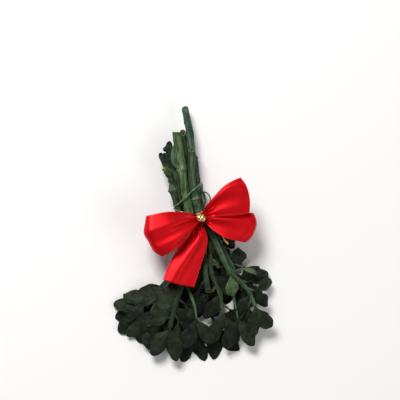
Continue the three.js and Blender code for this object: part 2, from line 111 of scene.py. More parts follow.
TIP_SHARE = 0.55  # share of a stem's radius that is left at its far end
TAPER_START = 0.45  # share of its length after which it gets thinner
Sprig = namedtuple("Sprig", "radius route leaves twigs tip_share", defaults=([], TIP_SHARE))
SPRIGS = {
    "long": Sprig(radius=2.0, route=[
        (-6.1, 64.4, 8.6), (-4.9, 57, 9.6), (-3.4, 49, 10.4), (-2.3, 39, 10.9), (-1.1, 28, 11),
        (0.6, 18, 11), (2.6, 9, 10.9), (5.5, 0, 10.4), (11.8, -9, 9.2), (17.4, -19, 8),
        (23.4, -30, 7), (28.5, -42, 6),
    ], leaves=[
        (9.3, 88, 18, -8, 12.5, 10, 65), (10, 14, 2, 8, 14, 8.5, 40), (10, -12, -12, 0, 17, 8, 10),
        (11, 46, 6, 0, 13, 8, 50), (11, 4, 4, -10, 19, 9, 30), (8.2, 92, 4, -4, 14, 9.4, 30),
    ], twigs=[
        (5, 0.75, [(3.4, 15.2, 13.2), (4.9, 10.7, 14.4), (4.3, 5.5, 15.4)], []),
        (9.5, 1.0, [(24, -26.5, 6), (29, -28.5, 7.6)],
         [(2, 58, 6, 10, 14, 9.5, 45), (2, 16, -4, 0, 15, 8.5, 30)]),
    ]),
    "thick": Sprig(radius=2.6, route=[
        (-11.4, 49.5, 12), (-10.1, 40.5, 12.3), (-8.4, 28.8, 12.5), (-6.7, 16, 12.3),
        (-5, 7.4, 12.7), (-4.2, 0, 12.6), (-3.6, -10, 12), (-4.6, -22, 11), (-7.5, -36, 10.6),
        (-12, -50, 10.6), (-15, -63, 10.4),
    ], leaves=[
        (8.3, -56, 8, 6, 19, 12, 30), (9, -58, 8, -6, 19, 10, 35), (9, 36, -6, 10, 15, 8, 20),
        (10, -34, 6, 8, 19, 10, 30), (10, 14, 8, -8, 20, 9, 35),
    ], twigs=[
        (2, 1.6, [(-12.3, 30.6, 13.2), (-13.6, 35, 13), (-12.6, 41.8, 12.8)], []),
        (8, 1.0, [(-4.6, -41, 11.8), (-2, -48, 12.6), (0, -58, 13.4)],
         [(3, -22, 10, 0, 19, 9, 45), (3, 34, 6, 5, 18, 8, 40)]),
    ]),
    "broken": Sprig(radius=2.0, tip_share=0.85, route=[
        (-7.1, 50.8, 7.7), (-5.7, 38.8, 7.8), (-3.8, 27.4, 7.7), (-1.9, 14.8, 7.9), (0.2, 0, 7.8),
        (1.6, -9, 8.8), (4.4, -21.1, 10.5), (5.7, -32.5, 12), (7.2, -42.7, 12.5),
    ], leaves=[(6.6, -24, -16, 0, 17, 8, 10)]),
    "front": Sprig(radius=2.1, route=[
        (-3.3, 39.6, 15.5), (-3.1, 28.5, 15.4), (-2.5, 16, 15.5), (-0.9, 11.1, 14.9),
        (1, 4, 14.3), (4.2, -2.3, 14), (7.1, -7.3, 13.8), (13.7, -19.4, 13.4),
        (20.2, -31.3, 13), (26.8, -37.6, 12.6), (32, -43.5, 12.4), (35, -51, 12),
    ], leaves=[
        (8, 2, 24, 6, 14, 7.6, 60), (8, 107, 6, -78, 17.5, 5.5, 112), (10, -24, 4, 0, 15, 8, 30),
        (11, 34, 12, 8, 16, 9, 45), (11, -6, 8, -6, 19, 9, 40),
    ], twigs=[
        (8, 1.0, [(21.4, -38, 11), (23, -48, 10.6), (25, -58, 10.4)],
         [(3, -20, 8, 0, 19, 9, 35), (3, 32, 4, 0, 19, 9, 30)]),
    ]),
    "slim": Sprig(radius=1.9, route=[
        (0.3, 39.6, 4.4), (1.1, 30, 4.4), (2.6, 14, 4.8), (4.6, 0, 6.2), (8.2, -8.9, 7),
        (9, -16.8, 7.6), (9.6, -31.9, 8.8), (14.8, -43.5, 9), (17, -55, 8.4),
    ], leaves=[
        (6, 42, -6, 0, 17, 11, 15), (5.35, 20, 14, 50, 9, 3.4, 40), (7, -30, 2, 0, 17, 9, 25),
        (8, 26, 0, 6, 20, 9, 25), (8, -22, 4, -6, 19, 9, 30),
    ]),
    "left": Sprig(radius=1.8, route=[
        (-21.2, 37.2, 12.6), (-17.4, 29.5, 12.5), (-15.4, 22.8, 12.3), (-13.6, 16, 12.2),
        (-11.2, 8.5, 12), (-9, 0, 11.8), (-8.6, -10, 10.6), (-9, -22, 9.6), (-12.6, -33, 8.6),
        (-20.5, -44, 8), (-26, -56, 7.4),
    ], leaves=[
        (8.6, -62, 4, 0, 17, 9, 30), (9, -76, 6, 0, 17, 9, 30), (9, 18, -6, 0, 15, 8, 10),
        (10, -46, 6, 0, 18, 9, 35), (10, 2, 4, 0, 20, 9, 30),
    ], twigs=[
        (1.3, 1.4, [(-17.4, 28, 13.4), (-19.8, 27.6, 14)], []),
        (1.3, 1.3, [(-14.4, 26.8, 13.4), (-12.4, 24.5, 13.8), (-11.5, 20, 14), (-10.3, 14, 14),
                    (-9, 7.5, 14)], []),
    ]),
    "notched": Sprig(radius=2.0, route=[
        (-15.2, 44.1, 9.5), (-14.9, 37.6, 9.2), (-12.8, 29.6, 8.2), (-9.9, 21, 7.9),
        (-8.8, 14, 7.9), (-7.4, 7.4, 7.6), (-6.9, 0, 7.5), (-8, -10, 6.6), (-8.8, -22, 5.6),
        (-13.4, -34, 4.6), (-23.5, -44, 3.9), (-31, -54, 3.4),
    ], leaves=[
        (10, -80, 0, 0, 15, 9, 20), (10, 12, -4, 0, 14, 8, 10), (11, -44, 0, 0, 17, 9, 20),
        (11, 8, 0, 0, 19, 9, 20),
    ], twigs=[(0.7, 2.3, [(-16.2, 39.6, 9.6), (-18.3, 39, 10)], [])]),
    "back_left": Sprig(radius=1.9, route=[
        (-15.6, 37.8, 1.9), (-12.6, 30, 2.6), (-6.6, 14, 3.6), (-4.4, 0, 3.6), (-5, -14, 3.4),
        (-5.8, -30, 3), (-9.5, -46, 2.6), (-15, -60, 2.2),
    ], leaves=[(6, 40, 0, 0, 16, 9, 15), (7, -34, 0, 0, 19, 10, 20), (7, 14, 2, 0, 20, 9, 20)]),
    "back_middle": Sprig(radius=1.75, route=[
        (-5.5, 47, 1.75), (-4, 30, 2.8), (-1.9, 14, 3.8), (0.2, 0, 3.7), (0.6, -16, 3.4),
        (0.6, -36, 3), (0, -52, 2.6), (-1, -66, 2.2),
    ], leaves=[(7, -14, 0, 0, 18, 9, 20), (7, 30, 2, 0, 19, 9, 20)], twigs=[
        (5, 1.1, [(5.4, -46, 2.6), (11, -56, 2.4), (14.6, -64, 2)],
         [(3, -4, 0, 0, 18, 9, 15), (3, 46, 0, 0, 19, 9, 20)]),
    ]),
}

# Swollen joints of each stem: (point of its route, how much thicker or thinner it is there)
JOINTS = {
    "long": [(2.1, 0.1), (5.2, 0.16), (9, 0.2), (10, 0.2)],
    "thick": [(0.9, 0.05), (2.1, 0.26), (4.6, 0.08), (7, 0.12), (8, 0.2), (9, 0.2)],
    "broken": [(1.2, 0.12), (3.1, 0.12), (6.6, 0.2)],
    "front": [(0.05, 0.1), (3, 0.2), (5.8, 0.1), (8, 0.24), (10, 0.2)],
    "slim": [(1.5, 0.1), (4.7, 0.16), (6, 0.26), (7, 0.2)],
    "left": [(1.4, 0.3), (2, -0.28), (2.45, -0.28), (3, 0.42), (6.5, 0.1), (8, 0.2), (9, 0.2)],
    "notched": [(1.6, 0.14), (4.3, 0.14), (8, 0.12), (10, 0.2)],
    "back_left": [(1.2, 0.14), (4, 0.14), (6, 0.2)],
    "back_middle": [(1.1, 0.14), (3.8, 0.14), (5, 0.24)],
}
# Buds on a stem: (point of its route, degrees round it from its left over its top, height in mm)
BUDS = {
    "slim": [(0.5, 180, 0.9)], "front": [(2.95, 60, 0.5), (2.95, 140, 0.4)], "long": [(1.3, 20, 0.4)],
    "thick": [(2.0, 110, 0.4)], "left": [(3, 60, 0.5)], "notched": [(1.5, 170, 0.5)],
}
# The ends of a stem: how far the cut slants towards the stem's left and its top, in radii; how
# much its rim is rounded off; how deep its middle is hollow, in mm
CUT_ENDS = {
    "long": (0.2, 0.5, 0.1, 0.4),
    "thick": (-0.12, 0.12, 0.05, 0.6),
    "broken": (0.1, 0.9, 0.12, 0.8),
    "front": (0.1, 0.3, 0.08, 0.3),
    "slim": (-0.9, 0.3, 0.15, 0.4),
    "left": (0.1, 0.5, 0.35, 0.4),
    "notched": (0.3, 0.9, 0.25, 1.2),
    "back_left": (-0.3, 0.3, 0.1, 0.5),
    "back_middle": (0.3, -0.2, 0.1, 0.5),
}
FAR_ENDS = {"broken": (0.2, 0.5, 0, 2.5)}
PLAIN_END = (0, 0, 0.2, 0.3)
# The light and the dark of each stem's bark, as display colours from 0 to 255. The darker pairs,
# of the broken, left, notched and back stems, are painted shade.
TONES = {
    "long": ((74, 98, 80), (42, 58, 46)),
    "thick": ((88, 112, 74), (54, 72, 46)),
    "broken": ((58, 70, 48), (32, 41, 28)),
    "front": ((80, 104, 76), (46, 63, 44)),
    "slim": ((76, 90, 62), (42, 54, 37)),
    "left": ((54, 67, 45), (30, 39, 27)),
    "notched": ((44, 56, 42), (22, 30, 22)),
    "back_left": ((42, 52, 38), (24, 32, 22)),
    "back_middle": ((44, 54, 40), (24, 32, 22)),
}
# Specks and stains on the bark, patches darker all over, and the bow's painted shadow on the stems
# below it: (middle, radius, width of its faded edge, display colour, fineness of its specks, share of
# it that stays bare)
SPOTS = {
    "thick": [
        ((-10.2, 27.4, 15), 1.8, 2.2, (146, 158, 138), 2100, 0.5),
        # two patches that darken the bark all over towards its far end, among its leaves
        ((-9.5, -41, 11), 6, 3, (38, 52, 36), 300, 0.0),
        ((-13.5, -55, 11), 8, 3, (38, 52, 36), 300, 0.0),
        ((-15, 35.6, 13), 1.2, 3.6, (74, 102, 80), 300, 0.2),
    ],
    "left": [
        ((-14, 17, 14), 1.7, 1.5, (72, 94, 78), 1200, 0.4),
        ((-19.6, 27.8, 14), 1.0, 1.2, (96, 124, 58), 900, 0.34),
        ((-14, 27, 14), 3, 3, (62, 80, 46), 700, 0.42),
    ],
    # painted shadow: the bow's shadow on the long stem under the right loop
    "long": [((13, -12, 9), 8, 8, (42, 54, 40), 300, 0.0)],
    "front": [
        # painted shadow: the bow's shadow on the front stem just below the knot
        ((7, -6, 15), 5, 6, (30, 38, 28), 300, 0.0),
        ((-1.3, 11.1, 17), 0.9, 1.2, (100, 118, 70), 1700, 0.42),
        ((-3.4, 39.4, 17), 1.0, 1.0, (128, 146, 104), 1500, 0.42),
    ],
}

# Side shoots with a pair of leaves each, by sprig: (point of its route, heading, pitch, length,
# leaves' length)
SHOOTS = [
    (name, *shoot)
    for name, shoots in (
        ("back_middle", [
            (4.35, 42, 6, 9, 17), (4.15, 62, 4, 12, 16), (4.75, -38, 2, 8, 17), (5.5, -30, 4, 8, 17),
            (6.5, 20, 2, 5, 16),
        ]),
        ("back_left", [
            (5.3, 30, 4, 8, 16), (5.5, -62, 4, 8, 16), (6.4, -50, 2, 7, 16), (6.7, 30, 2, 6, 16),
        ]),
        ("slim", [(5.6, 68, -4, 7, 15), (6.6, -42, -8, 7, 16), (7.5, 52, 0, 6, 16)]),
        ("broken", [(7.2, -40, -10, 6, 15)]),
        ("long", [(9.5, 12, -10, 7, 15), (10.5, 78, 0, 6, 15)]),
        ("front", [(9.5, 74, -4, 5, 15), (10.3, -20, -6, 6, 16)]),
        ("left", [(8.5, 2, -4, 7, 16), (9.4, -84, 0, 6, 15), (9.6, 26, 0, 6, 16)]),
        ("notched", [(9.4, -2, -2, 8, 16), (10.4, 22, -2, 6, 16), (10.6, -78, 0, 5, 15)]),
        ("thick", [(8.7, 52, -6, 6, 16), (9.5, -70, -2, 6, 16), (9.3, 30, 0, 6, 16)]),
        ("back_middle", [(5.2, 55, 2, 9, 16), (4.9, 26, 4, 9, 17)]),
        ("long", [(10.1, 0, -8, 6, 15)]),
        ("slim", [(4.6, 40, -12, 6, 13)]),
        ("long", [(8.02, 76, -2, 4, 12)]),
    )
    for shoot in shoots
]
SHOOT_RADIUS = 0.7
SHOOT_SPREAD = 30  # degrees between a shoot and each of its two leaves
SHOOT_SEED = 7
SHOOT_RISE = 0.4  # how far a shoot's middle lies above a straight line to its tip
# the shoots' leaves are drawn from the painted-shade leaf tones
SHOOT_TONES = ("dark", "dark", "green")
# Ranges that each leaf on a shoot is drawn from, in their order; the angles are degrees
SHOOT_DRAWS = {
    "size": (0.85, 1.1),  # share of the length in SHOOTS
    "spread": (0.7, 1.3),  # share of SHOOT_SPREAD
    "lean": (-6, 10),
    "roll": (-18, 18),
    "width": (0.48, 0.6),  # share of its own length
    "curl": (20, 60),
}

# ---- the ribbon: one strip from its right tail to its low tail ----
# Each run has the route of its upper and of its lower edge, from the knot outwards. They are
# those of the part's source, but the right loop's lower edge starts closer to the beads.

RIBBON_WIDTH = 22.0
SELVEDGE = 0.045  # share of the half width taken by the thicker woven edge
RIBBON_RUNS = {
    "tail_right": (
        [(1.4, 2.4, 21.4), (6.2, 10.1, 24.6), (12.9, 18.1, 27), (18.2, 21.4, 27.6), (22.4, 23.1, 27.4)],
        [(1.4, 0.4, 21.6), (7, 0.9, 24.6), (13, 1.2, 26.8), (20.6, 1.6, 28.4), (27.4, 2.8, 28.6)],
    ),
    "loop_left": (
        [(-1.2, 1.6, 21.4), (-9, 3.2, 25.2), (-20, 3.6, 27.4), (-29.5, 1.8, 26.4), (-31.5, 1.2, 23.6),
         (-29.5, 1.4, 21), (-19, 2.8, 20.2), (-9, 2.4, 19.8), (-1.2, 1.2, 19.6)],
        [(-1.2, -1.6, 21.4), (-7, -9, 25.4), (-14.6, -16.8, 27.4), (-21, -20.8, 26.4),
         (-22.6, -21.6, 23.6), (-21, -20.6, 21), (-14, -16.4, 20.2), (-7, -8.6, 19.8),
         (-1.2, -1.4, 19.6)],
    ),
    "loop_right": (
        [(1.2, 0.8, 20.8), (9.5, 1.5, 23), (20.5, 2.4, 24.4), (29.6, 2.9, 23.6), (31.5, 2.5, 21.4),
         (29.4, 2.7, 19.4), (20, 2.2, 18.8), (9.5, 1.2, 18.6), (1.2, 0.6, 19)],
        [(2.2, -1.1, 20.8), (6.3, -5.9, 22.8), (13.7, -11, 25), (22.4, -13.4, 25.6),
         (26.9, -13.8, 23.4), (25.4, -13.2, 20.6), (19, -11.4, 19.2), (10, -7.4, 18.8),
         (2.1, -1.2, 19)],
    ),
    "tail_low": (
        [(-1.2, -1.6, 19.2), (-6.4, -9.4, 18.4), (-11.8, -16.6, 18.9), (-17.4, -26, 19.6),
         (-21.2, -35, 19.4)],
        [(1.4, -1.6, 19.4), (4.8, -10.3, 19), (4.6, -16.5, 19.2), (1.8, -25.3, 19.2),
         (-2.6, -39.6, 18.6)],
    ),
}

# ---- the wires, a little closer to the stems and the knot than in the part's source ----

BINDING_ROUTE = [
    (-8.4, 3.2, 16.4), (-10.6, 4, 15.2), (-12.5, 4.8, 12.2), (-12.1, 5.2, 8.4), (-9.4, 6.2, 3.6),
    (-6, 7, 0.9), (-1.2, 8.6, 0.7), (3.4, 11, 1.6), (5.2, 15, 4.6), (4.4, 18.2, 8.8),
    (3.6, 20, 12), (1.6, 19.4, 15.8), (-2.3, 16.6, 18.5), (-5.6, 13.6, 17.3),
    (-8.6, 10.6, 16.4), (-11.3, 7.8, 15.1), (-13, 6.8, 12), (-12.4, 7.6, 8.4), (-9.8, 8.8, 3.5),
    (-6.4, 10, 0.8), (-1.3, 11.6, 0.7), (3.4, 13.4, 1.5), (6.4, 14.6, 5), (5.9, 14.8, 9.5),
    (6, 14.6, 12.4), (7.4, 13, 13.4), (8.2, 10.4, 13.2), (7.4, 8, 12.6), (6.2, 6.6, 12.4),
]
BINDING_RADIUS = 0.42
TIE_ROUTE = [
    (18, -14.8, 16.2), (15.6, -12.6, 16.8), (14.1, -9.6, 17), (11, -6.2, 17), (6.8, -3.4, 16.8),
    (8.4, -1.6, 14), (9, -0.6, 9), (7.6, 0, 4), (3.5, 0.5, 1), (-2, 0.8, 0.8), (-7, 1, 1.4),
    (-11, 1, 6), (-12.2, 0.8, 11.5), (-10.2, 0.6, 15.1), (-5, 0.9, 16.8), (0.4, 2.5, 16.9),
    (1.6, 3.8, 19.2), (0.4, 2.9, 21.8), (-2, 1.1, 22.6), (-3.1, 0.1, 24.2), (-1.4, 0, BEAD_HEIGHT),
    (1.4, 0, BEAD_HEIGHT), (3.1, -0.1, 24.2), (2.5, -1, 22.6), (2.2, -2.4, 20.2),
    (1.2, -4.2, 17.8), (-0.6, -6, 17.2),
]
TIE_RADIUS = 0.32

# ---- curves and meshes ----


def route_at(points, t):
    """Places on the smooth curve through the points, at shares t of its spans."""
    p = np.asarray(points, float)
    p = np.vstack([2 * p[0] - p[1], p, 2 * p[-1] - p[-2]])
    spans = len(p) - 3
    u = np.clip(np.asarray(t, float), 0, 1) * spans
    i = np.minimum(u.astype(int), spans - 1)
    f = (u - i)[..., None]
    a, b, c, d = p[i], p[i + 1], p[i + 2], p[i + 3]
    return 0.5 * (
        2 * b + (c - a) * f + (2 * a - 5 * b + 4 * c - d) * f**2 + (3 * b - a - 3 * c + d) * f**3
    )


def point_on(route, at):
    """The place at a point of the route, counted from 0, or between two of its points."""
    return route_at(route, at / (len(route) - 1))


def length_of(route, samples):
    places = route_at(route, np.linspace(0, 1, samples))
    return np.linalg.norm(np.diff(places, axis=0), axis=1).sum()


def unit(v):
    return v / np.maximum(np.linalg.norm(v, axis=-1, keepdims=True), 1e-12)


def smoothstep(low, high, x):
    f = np.clip((x - low) / (high - low), 0, 1)
    return f * f * (3 - 2 * f)


def bumps(points, size, seed):
    """Smooth noise, about -1 to 1, whose lumps are about size millimetres wide."""
    flat = np.asarray(points, float).reshape(-1, 3) / size + seed
    values = [noise.noise(Vector(p)) for p in flat]
    return np.array(values).reshape(np.shape(points)[:-1]) * 2


def bell(distance, span):
    """1 at no distance, fading to 0 over about the span."""
    return np.exp(-((distance / span) ** 2))


def joined(x, y, z):
    """Arrays of x, of y and of z as one array of places."""
    return np.stack(np.broadcast_arrays(x, y, z), axis=-1)


def circle(count):
    """The angles of a ring's vertices."""
    return np.linspace(0, 2 * np.pi, count, endpoint=False)


def tube_faces(rows, columns):
    """Quads between rows rings of columns vertices each."""
    r, c = np.meshgrid(np.arange(rows - 1), np.arange(columns), indexing="ij")
    here, following = r * columns, (c + 1) % columns
    quads = [here + c, here + following, here + columns + following, here + columns + c]
    return np.stack(quads, axis=-1).reshape(-1, 4).tolist()


def closed_faces(rows, columns):
    """The same with a face over each end."""
    ring = list(range(columns))
    last = (rows - 1) * columns
    return [*tube_faces(rows, columns), ring[::-1], [last + i for i in ring]]


def flipped(faces):
    return [face[::-1] for face in faces]


class Shape:
    """Vertices, faces, grain and material numbers of one piece, gathered part by part.

    The grain is each vertex's place on the piece's own surface; its first two are the UV map.
    """

    def __init__(self):
        self.points, self.grain = [], []
        self.faces, self.slots = [], []
        self.count = 0

    def add(self, points, faces, grain=(0, 0, 0), slot=0):
        points = np.asarray(points, float)
        self.grain.append(np.broadcast_to(grain, points.shape).reshape(-1, 3))
        points = points.reshape(-1, 3)
        self.points.append(points)
        self.faces += [[i + self.count for i in face] for face in faces]
        self.slots += [slot] * len(faces)
        self.count += len(points)

    def build(self, name, materials, node=None):
        mesh = bpy.data.meshes.new(name)
        points = place(np.vstack(self.points))
        mesh.from_pydata(points.tolist(), [], self.faces)
        mesh.polygons.foreach_set("material_index", self.slots)
        grain = np.vstack(self.grain)
        layer = mesh.uv_layers.new(name="UVMap")
        corners = np.empty(len(mesh.loops), int)
        mesh.loops.foreach_get("vertex_index", corners)
        layer.data.foreach_set("uv", grain[corners, :2].ravel())
        mesh.attributes.new("grain", "FLOAT_VECTOR", "POINT").data.foreach_set("vector", grain.ravel())
        for material in materials:
            mesh.materials.append(material)
        mesh.shade_smooth()
        mesh.validate()
        piece = add_object(name, mesh)
        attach(piece, BODY)
        if node:
            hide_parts(node)
        return piece


# ---- materials ----


class Look:
    """A node material around its Principled shader."""

    def __init__(self, name, **settings):
        self.material = bpy.data.materials.new(name)
        self.material.use_nodes = True
        self.tree = self.material.node_tree
        self.shader = self.tree.nodes["Principled BSDF"]
        self.finish(**settings)

    def node(self, kind, inputs=None, **settings):
        made = self.tree.nodes.new("ShaderNode" + kind)
        for key, value in settings.items():
            setattr(made, key, value)
        for key, value in (inputs or {}).items():
            self.feed(made.inputs[key], value)
        return made

    def feed(self, socket, value):
        if isinstance(value, bpy.types.NodeSocket):
            self.tree.links.new(value, socket)
        else:
            socket.default_value = value

    def grain(self):
        return self.node("Attribute", attribute_name="grain").outputs["Vector"]

    def place(self):
        return self.node("TexCoord").outputs["Object"]

    def noise(self, fineness, detail=3.0, rough=0.5):
        """Noise on the piece's grain where the fineness is three numbers, otherwise in space."""
        vector, scale = self.place(), fineness
        if isinstance(fineness, tuple):
            mapping = self.node("Mapping", {"Vector": self.grain(), "Scale": fineness})
            vector, scale = mapping.outputs[0], 1.0
        inputs = {"Vector": vector, "Scale": scale, "Detail": detail, "Roughness": rough}
        return self.node("TexNoise", inputs).outputs[0]

    def math(self, operation, a, b=0.0):
        return self.node("Math", {0: a, 1: b}, operation=operation).outputs[0]

    def ramp(self, value, low, high, to_low=0.0, to_high=1.0):
        inputs = {0: value, 1: low, 2: high, 3: to_low, 4: to_high}
        return self.node("MapRange", inputs, interpolation_type="SMOOTHSTEP").outputs[0]

    def mix(self, share, a, b):
        return self.node("Mix", {0: share, 6: a, 7: b}, data_type="RGBA").outputs[2]

    def layers(self, color, *layers):
        """The colour under layers of (value, where it starts, where it is full, share, colour)."""
        for value, low, high, share, tone in layers:
            color = self.mix(self.ramp(value, low, high, 0, share), color, tone)
        return color

    def bump(self, height, strength, distance, **more):
        inputs = {"Height": height, "Strength": strength, "Distance": distance, **more}
        return self.node("Bump", inputs).outputs[0]

    def finish(self, **inputs):
        for key, value in inputs.items():
            self.feed(self.shader.inputs[key.replace("_", " ")], value)
        return self.material


def shade(red, green, blue):
    """A display colour, 0 to 255, as linear RGBA."""

    def linear(c):
        c /= 255
        return c / 12.92 if c <= 0.04045 else ((c + 0.055) / 1.055) ** 2.4

    return (linear(red), linear(green), linear(blue), 1.0)


def scaled(color, factor):
    """A linear RGBA colour made darker or lighter."""
    return (*(factor * c for c in color[:3]), 1.0)


def near(look, middle, radius, soft):
    """1 within radius millimetres of a place given from the knot, fading to 0 over soft."""
    centre = tuple(place(middle))
    away = look.node("VectorMath", {0: look.place(), 1: centre}, operation="DISTANCE").outputs["Value"]
    return look.ramp(away, radius * MM, (radius + soft) * MM, 1.0, 0.0)


# Fineness of the looks' noises: three numbers are lumps per unit of the grain, one is lumps per
# metre. Depths are those of the bumps.
BARK_STREAKS = (0.8, 0.8, 0.12)
BARK_LINES = (3.2, 3.2, 0.55)
BARK_PATCHES, BARK_SPECKS = 200, 2300
BARK_DEPTH = 0.3 * MM
SPECK_TONE = shade(136, 146, 98)
PITH_TONE = shade(22, 24, 16)
CUT_RINGS = (9, 2, 2)
CUT_BLOTCHES = 1100
CUT_DEPTH = 0.25 * MM
LEAF_PATCHES, LEAF_MOTTLE, LEAF_FLECKS = 240, 1100, 1500
LEAF_WRINKLES = (16, 5, 1)
LEAF_VEINS = 4  # strips between the parallel veins across a blade
WRINKLE_DEPTH, MOTTLE_DEPTH = 0.35 * MM, 0.2 * MM
SATIN_SLUBS = (12, 1.3, 1)
SATIN_BROAD = 120
SATIN_THREAD = 0.2  # millimetres between the satin's threads
SATIN_DEPTH = 0.06 * MM
GOLD_HAZE = 900
ENAMEL_WEAR_AND_HIGHLIGHT = 1500
ENAMEL_DEPTH = 0.05 * MM


def bark_material(name):
    look = Look(f"bark_{name}", Specular_IOR_Level=0.14)
    light, dark = TONES[name]
    deep = shade(*(0.7 * c for c in dark))
    pale = shade(*(1.25 * c for c in light))
    streaks = look.noise(BARK_STREAKS, 5, 0.62)
    lines = look.noise(BARK_LINES, 3, 0.6)
    patches = look.noise(BARK_PATCHES, 4)
    specks = look.noise(BARK_SPECKS, 2)
    color = look.layers(
        shade(*dark), (streaks, 0.4, 0.6, 1, shade(*light)), (patches, 0.45, 0.7, 0.6, deep),
        (lines, 0.58, 0.76, 0.35, pale), (specks, 0.64, 0.74, 0.4, SPECK_TONE),
    )
    for middle, radius, fade, tone, fineness, bare in SPOTS.get(name, []):
        covered = look.ramp(look.noise(fineness, 4), bare, bare + 0.12)
        share = look.math("MULTIPLY", near(look, middle, radius, fade), covered)
        color = look.mix(share, color, shade(*tone))
    height = look.math("ADD", streaks, look.math("MULTIPLY", lines, 0.6))
    rough = look.ramp(patches, 0.2, 0.8, 0.58, 0.76)
    normal = look.bump(height, 0.6, BARK_DEPTH)
    return look.finish(Base_Color=color, Roughness=rough, Normal=normal)


def cut_material(name, rim, wood):
    """A cut end: grain x is 1 at the bark and 0 at the pith."""
    look = Look(name, Roughness=0.85, Specular_IOR_Level=0.1)
    share = look.node("SeparateXYZ", {0: look.grain()}).outputs[0]
    blotches = look.noise(CUT_BLOTCHES, 4)
    color = look.mix(look.ramp(blotches, 0.35, 0.65), wood, scaled(wood, 0.55))
    color = look.mix(look.ramp(share, 0.05, 0.5, 0.8, 0), color, PITH_TONE)
    color = look.mix(look.ramp(share, 0.8, 0.92, 0, 0.9), color, rim)
    rings = look.noise(CUT_RINGS)
    normal = look.bump(look.math("ADD", rings, blotches), 0.6, CUT_DEPTH)
    return look.finish(Base_Color=color, Normal=normal)


def leaf_material(name, dark, light, fleck, flecks_from):
    """A leathery blade: grain x runs across it and y along it; flecks_from sets how few they are."""
    look = Look(name, Specular_IOR_Level=0.16)
    parts = look.node("SeparateXYZ", {0: look.grain()})
    across = look.math("ABSOLUTE", look.math("SUBTRACT", parts.outputs[0], 0.5))
    patches = look.noise(LEAF_PATCHES, 4)
    mottle = look.noise(LEAF_MOTTLE, 4, 0.65)
    flecks = look.noise(LEAF_FLECKS, 2)
    color = look.layers(
        dark, (patches, 0.35, 0.65, 1, light), (mottle, 0.45, 0.7, 0.5, scaled(dark, 0.5)),
        (flecks, flecks_from, flecks_from + 0.08, 0.8, fleck),
    )
    # the midrib painted lighter: partly a paler vein, partly a painted highlight along it
    rib = look.math("MULTIPLY", look.ramp(across, 0.012, 0.05, 0.45, 0.0), look.ramp(mottle, 0.35, 0.6))
    color = look.mix(rib, color, scaled(light, 1.6))
    waves = look.math("SINE", look.math("MULTIPLY", across, LEAF_VEINS * math.pi))
    veins = look.ramp(look.math("ABSOLUTE", waves), 0, 0.3, 0, 0.35)
    wrinkles = look.noise(LEAF_WRINKLES, 4, 0.6)
    coarse = look.bump(look.math("ADD", veins, wrinkles), 0.5, WRINKLE_DEPTH)
    normal = look.bump(mottle, 0.4, MOTTLE_DEPTH, Normal=coarse)
    rough = look.ramp(mottle, 0.3, 0.7, 0.46, 0.68)
    return look.finish(Base_Color=color, Roughness=rough, Normal=normal)


def satin_material():
    """Woven satin: grain x runs across the ribbon and y along it, both in millimetres."""
    sheen = {"Sheen_Weight": 0.08, "Sheen_Roughness": 0.4, "Sheen_Tint": shade(255, 90, 100)}
    look = Look("satin", Metallic=0.55, Specular_IOR_Level=0.2, **sheen)
    parts = look.node("SeparateXYZ", {0: look.grain()})
    slubs = look.noise(SATIN_SLUBS, 3, 0.6)
    broad = look.noise(SATIN_BROAD, 2)
    half = RIBBON_WIDTH / 2
    from_middle = look.math("ABSOLUTE", look.math("SUBTRACT", parts.outputs[0], half))
    color = look.layers(
        shade(201, 5, 16), (broad, 0.3, 0.7, 1, shade(211, 8, 20)),
        (slubs, 0.35, 0.8, 0.3, shade(180, 3, 11)),
        # painted highlight: the woven edges are painted lighter, standing in for the light caught along
        # the ribbon's rims
        (from_middle, half * (1 - 2 * SELVEDGE), half, 0.55, shade(236, 40, 48)),
    )
    threads = look.math("SINE", look.math("MULTIPLY", parts.outputs[1], 2 * math.pi / SATIN_THREAD))
    height = look.math("ADD", look.math("MULTIPLY", threads, 0.3), slubs)
    rough = look.ramp(slubs, 0.3, 0.7, 0.38, 0.46)
    normal = look.bump(height, 0.1, SATIN_DEPTH)
    return look.finish(Base_Color=color, Roughness=rough, Normal=normal)


def gold_material(name, rough, tone):
    look = Look(name, Metallic=1.0)
    haze = look.noise(GOLD_HAZE)
    color = look.layers(tone, (haze, 0.3, 0.7, 1, scaled(tone, 0.86)))
    return look.finish(Base_Color=color, Roughness=look.ramp(haze, 0.3, 0.8, rough, rough + 0.08))


def enamel_material():
    look = Look("green_enamel", Specular_IOR_Level=0.6, Coat_Weight=0.3)
    wear_and_highlight = look.noise(ENAMEL_WEAR_AND_HIGHLIGHT)
    # the lighter tone is partly wear and partly a painted highlight over the wire
    color = look.layers(shade(58, 84, 54), (wear_and_highlight, 0.35, 0.75, 1, shade(112, 142, 106)))
    rough = look.ramp(wear_and_highlight, 0.3, 0.8, 0.22, 0.4)
    normal = look.bump(wear_and_highlight, 0.15, ENAMEL_DEPTH)
    return look.finish(Base_Color=color, Roughness=rough, Normal=normal)


# The cut ends' lit copy and their painted-shade copy: the darker one stands in for the shade on the
# other stems' cut ends
PALE_CUT = cut_material("pale_cut", shade(116, 134, 94), shade(72, 82, 54))
SHADED_CUT = cut_material("shaded_cut", shade(46, 58, 38), shade(28, 34, 22))
